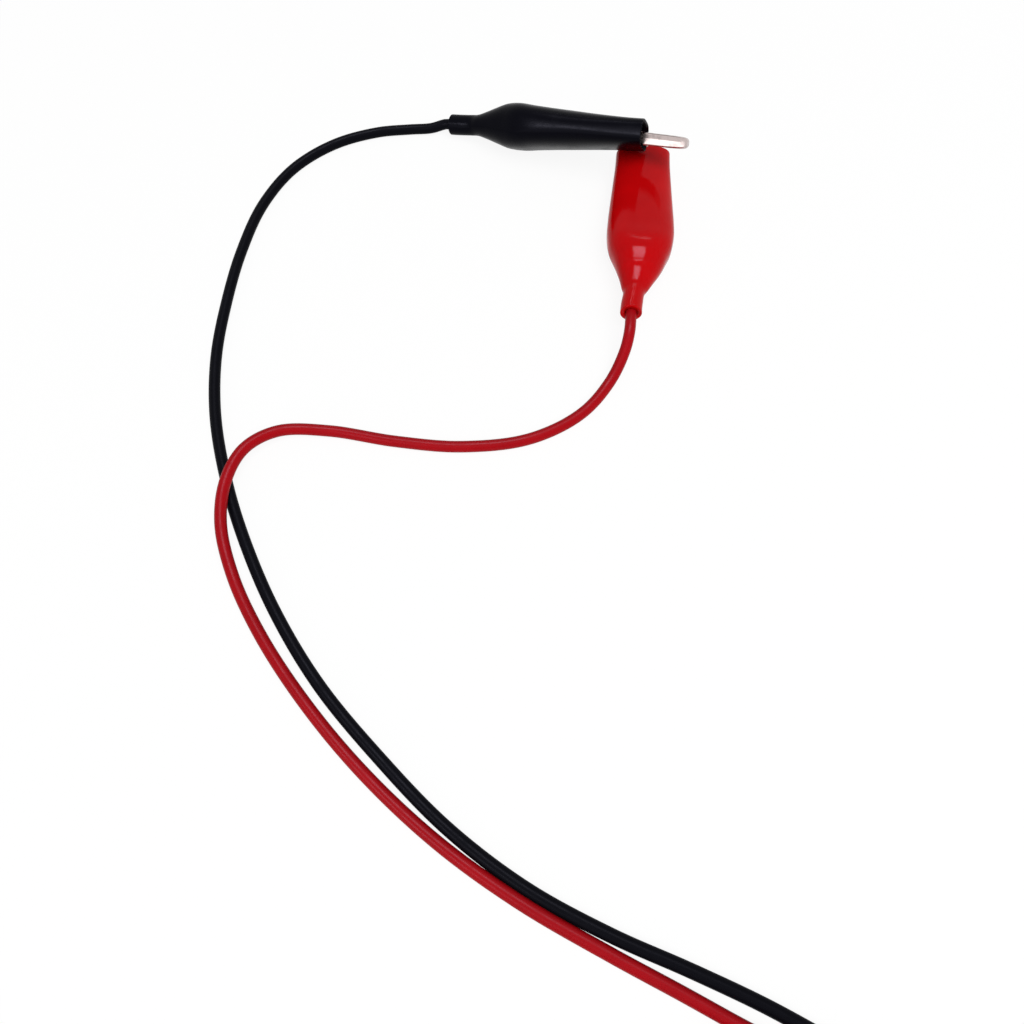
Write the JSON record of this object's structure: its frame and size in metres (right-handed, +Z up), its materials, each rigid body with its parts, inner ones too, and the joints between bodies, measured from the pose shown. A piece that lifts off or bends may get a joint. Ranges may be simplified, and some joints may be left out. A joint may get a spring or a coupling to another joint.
{
  "type": "pair of crocodile clip test leads",
  "caption": "Black and red insulated test leads, each with a sprung crocodile clip in a soft boot, joined at the far end by a twin banana plug.",
  "frame": {"origin": "on the table, under the middle of the box round the two clips", "axes": "+Z up; the red clip points its jaws to +Y, the black clip lies across its nose and points its jaws to +X; the leads run round by -X to the coils and the plug at -Y"},
  "size_m": [0.1342, 0.2214, 0.0166],
  "materials": {
    "nickel": "satin nickel plate",
    "spring_steel": "bright",
    "copper": "bare strands",
    "black_boot": "satin soft PVC",
    "red_boot": "glossy soft PVC",
    "black_wire": "satin PVC insulation",
    "red_wire": "satin PVC insulation",
    "tie": "matt",
    "plug_plastic": "fine grained moulding",
    "plug_metal": "nickel plate"
  },
  "bodies": {
    "leads": {"black_fixed_jaw": "nickel", "black_pivot_rivet": "nickel", "black_spring": "spring_steel", "black_boot": "black_boot", "black_conductor": "copper", "red_fixed_jaw": "nickel", "red_pivot_rivet": "nickel", "red_spring": "spring_steel", "red_boot": "red_boot", "red_conductor": "copper", "black_lead": "black_wire", "red_lead": "red_wire", "black_coil": "black_wire", "red_coil": "red_wire", "black_tie": "tie", "red_tie": "tie", "black_lead_end": "black_wire", "red_lead_end": "red_wire", "plug_body": "plug_plastic", "plug_pin_black": "plug_metal", "plug_pin_red": "plug_metal", "plug_set_screws": "plug_metal", "plug_conductor_black": "copper", "plug_conductor_red": "copper"},
    "black_jaw": {"black_moving_jaw": "nickel"},
    "red_jaw": {"red_moving_jaw": "nickel"}
  },
  "joints": [
    {"name": "black_jaw_hinge", "type": "hinge", "parent": "leads", "child": "black_jaw", "pos_m": [-0.00012, 0.0179, 0.00777], "axis": [-0.1224, -0.7579, -0.6408], "range_deg": [0, 14], "stiffness_Nm_per_rad": 0.25, "springref_deg": -34.38, "deforming": ["black_boot", "black_spring"]},
    {"name": "red_jaw_hinge", "type": "hinge", "parent": "leads", "child": "red_jaw", "pos_m": [0.01515, -0.0036, 0.00394], "axis": [0.0056, 0.0608, 0.9981], "range_deg": [0, 14], "stiffness_Nm_per_rad": 0.25, "springref_deg": -34.38, "deforming": ["red_boot", "red_spring"]}
  ]
}
